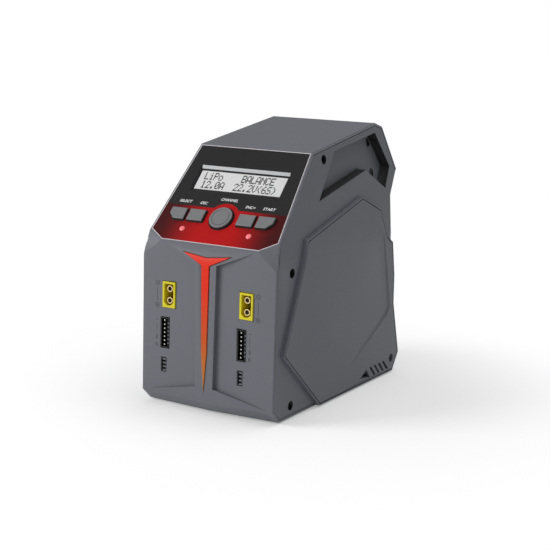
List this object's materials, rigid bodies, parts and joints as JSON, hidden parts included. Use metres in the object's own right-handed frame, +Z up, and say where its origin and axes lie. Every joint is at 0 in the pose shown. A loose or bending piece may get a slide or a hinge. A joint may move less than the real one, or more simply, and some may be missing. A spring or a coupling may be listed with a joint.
{
  "type": "balance battery charger",
  "caption": "Upright desktop balance battery charger: faceted plastic case, sloped display panel with press keys, battery sockets down the front, grip recesses in the sides, rear cooling fan.",
  "frame": {"origin": "middle of the base, at the height of the feet's undersides", "axes": "+Z up, front face with the sockets towards -Y, +X to the right as seen from behind the charger looking along +Y"},
  "size_m": [0.099, 0.171, 0.1705],
  "materials": {
    "housing_grey": "fine matte texture",
    "cover_grey": "fine matte texture",
    "overlay_red": "satin printed film",
    "clear_window": "clear acrylic",
    "display_white": "pale lit display",
    "key_grey": "matte",
    "light_guide": "translucent",
    "circuit_board": "solder mask",
    "insert_orange": "satin",
    "socket_yellow": "moulded nylon",
    "gold_contact": "gold plated",
    "black_plastic": "moulded",
    "steel": "tinned",
    "screw_steel": "black oxide",
    "transformer_core": "ferrite and tape",
    "copper_winding": "enamelled wire",
    "capacitor_sleeve": "sleeved can",
    "aluminium": "extruded",
    "ribbon_grey": "flat cable",
    "foot_rubber": "matte"
  },
  "bodies": {
    "charger": {"balance_pins_left": "steel", "balance_pins_right": "steel", "balance_socket_left": "black_plastic", "balance_socket_right": "black_plastic", "bulk_capacitor_1": "capacitor_sleeve", "bulk_capacitor_2": "capacitor_sleeve", "buzzer": "black_plastic", "centre_housing": "housing_grey", "cover_screw_left_1": "screw_steel", "cover_screw_left_2": "screw_steel", "cover_screw_left_3": "screw_steel", "cover_screw_left_4": "screw_steel", "cover_screw_left_5": "screw_steel", "cover_screw_left_6": "screw_steel", "cover_screw_right_1": "screw_steel", "cover_screw_right_2": "screw_steel", "cover_screw_right_3": "screw_steel", "cover_screw_right_4": "screw_steel", "cover_screw_right_5": "screw_steel", "cover_screw_right_6": "screw_steel", "dc_input_contacts": "gold_contact", "dc_input_socket": "socket_yellow", "display_module": "display_white", "display_window": "clear_window", "fan_frame": "black_plastic", "filter_coil": "copper_winding", "foot_front_left": "foot_rubber", "foot_front_right": "foot_rubber", "foot_rear_left": "foot_rubber", "foot_rear_right": "foot_rubber", "front_insert": "insert_orange", "heatsink_left": "aluminium", "heatsink_right": "aluminium", "key_board": "circuit_board", "left_side_cover": "cover_grey", "left_side_plate": "cover_grey", "main_board": "circuit_board", "mains_inlet": "black_plastic", "output_board": "circuit_board", "output_contacts_left": "gold_contact", "output_contacts_right": "gold_contact", "output_socket_left": "socket_yellow", "output_socket_right": "socket_yellow", "panel_overlay": "overlay_red", "power_board": "circuit_board", "rear_panel": "cover_grey", "ribbon_cable": "ribbon_grey", "right_side_cover": "cover_grey", "right_side_plate": "cover_grey", "sensor_port_left": "black_plastic", "sensor_port_right": "black_plastic", "status_light_left": "light_guide", "status_light_right": "light_guide", "transformer": "transformer_core"},
    "select_key": {"key_select": "key_grey"},
    "decrease_key": {"key_decrease": "key_grey"},
    "channel_key": {"key_channel": "key_grey"},
    "increase_key": {"key_increase": "key_grey"},
    "start_key": {"key_start": "key_grey"},
    "fan": {"fan_rotor": "black_plastic"}
  },
  "joints": [
    {"name": "select_key_press", "type": "slide", "parent": "charger", "child": "select_key", "axis": [0, 0.7242, -0.6896], "range_m": [0, 0.0008], "stiffness_N_per_m": 2000},
    {"name": "decrease_key_press", "type": "slide", "parent": "charger", "child": "decrease_key", "axis": [0, 0.7242, -0.6896], "range_m": [0, 0.0008], "stiffness_N_per_m": 2000},
    {"name": "channel_key_press", "type": "slide", "parent": "charger", "child": "channel_key", "axis": [0, 0.7242, -0.6896], "range_m": [0, 0.0008], "stiffness_N_per_m": 2000},
    {"name": "increase_key_press", "type": "slide", "parent": "charger", "child": "increase_key", "axis": [0, 0.7242, -0.6896], "range_m": [0, 0.0008], "stiffness_N_per_m": 2000},
    {"name": "start_key_press", "type": "slide", "parent": "charger", "child": "start_key", "axis": [0, 0.7242, -0.6896], "range_m": [0, 0.0008], "stiffness_N_per_m": 2000},
    {"name": "fan_spin", "type": "hinge", "parent": "charger", "child": "fan", "pos_m": [0, 0.05315, 0.082], "axis": [0, 1, 0], "continuous": true}
  ]
}
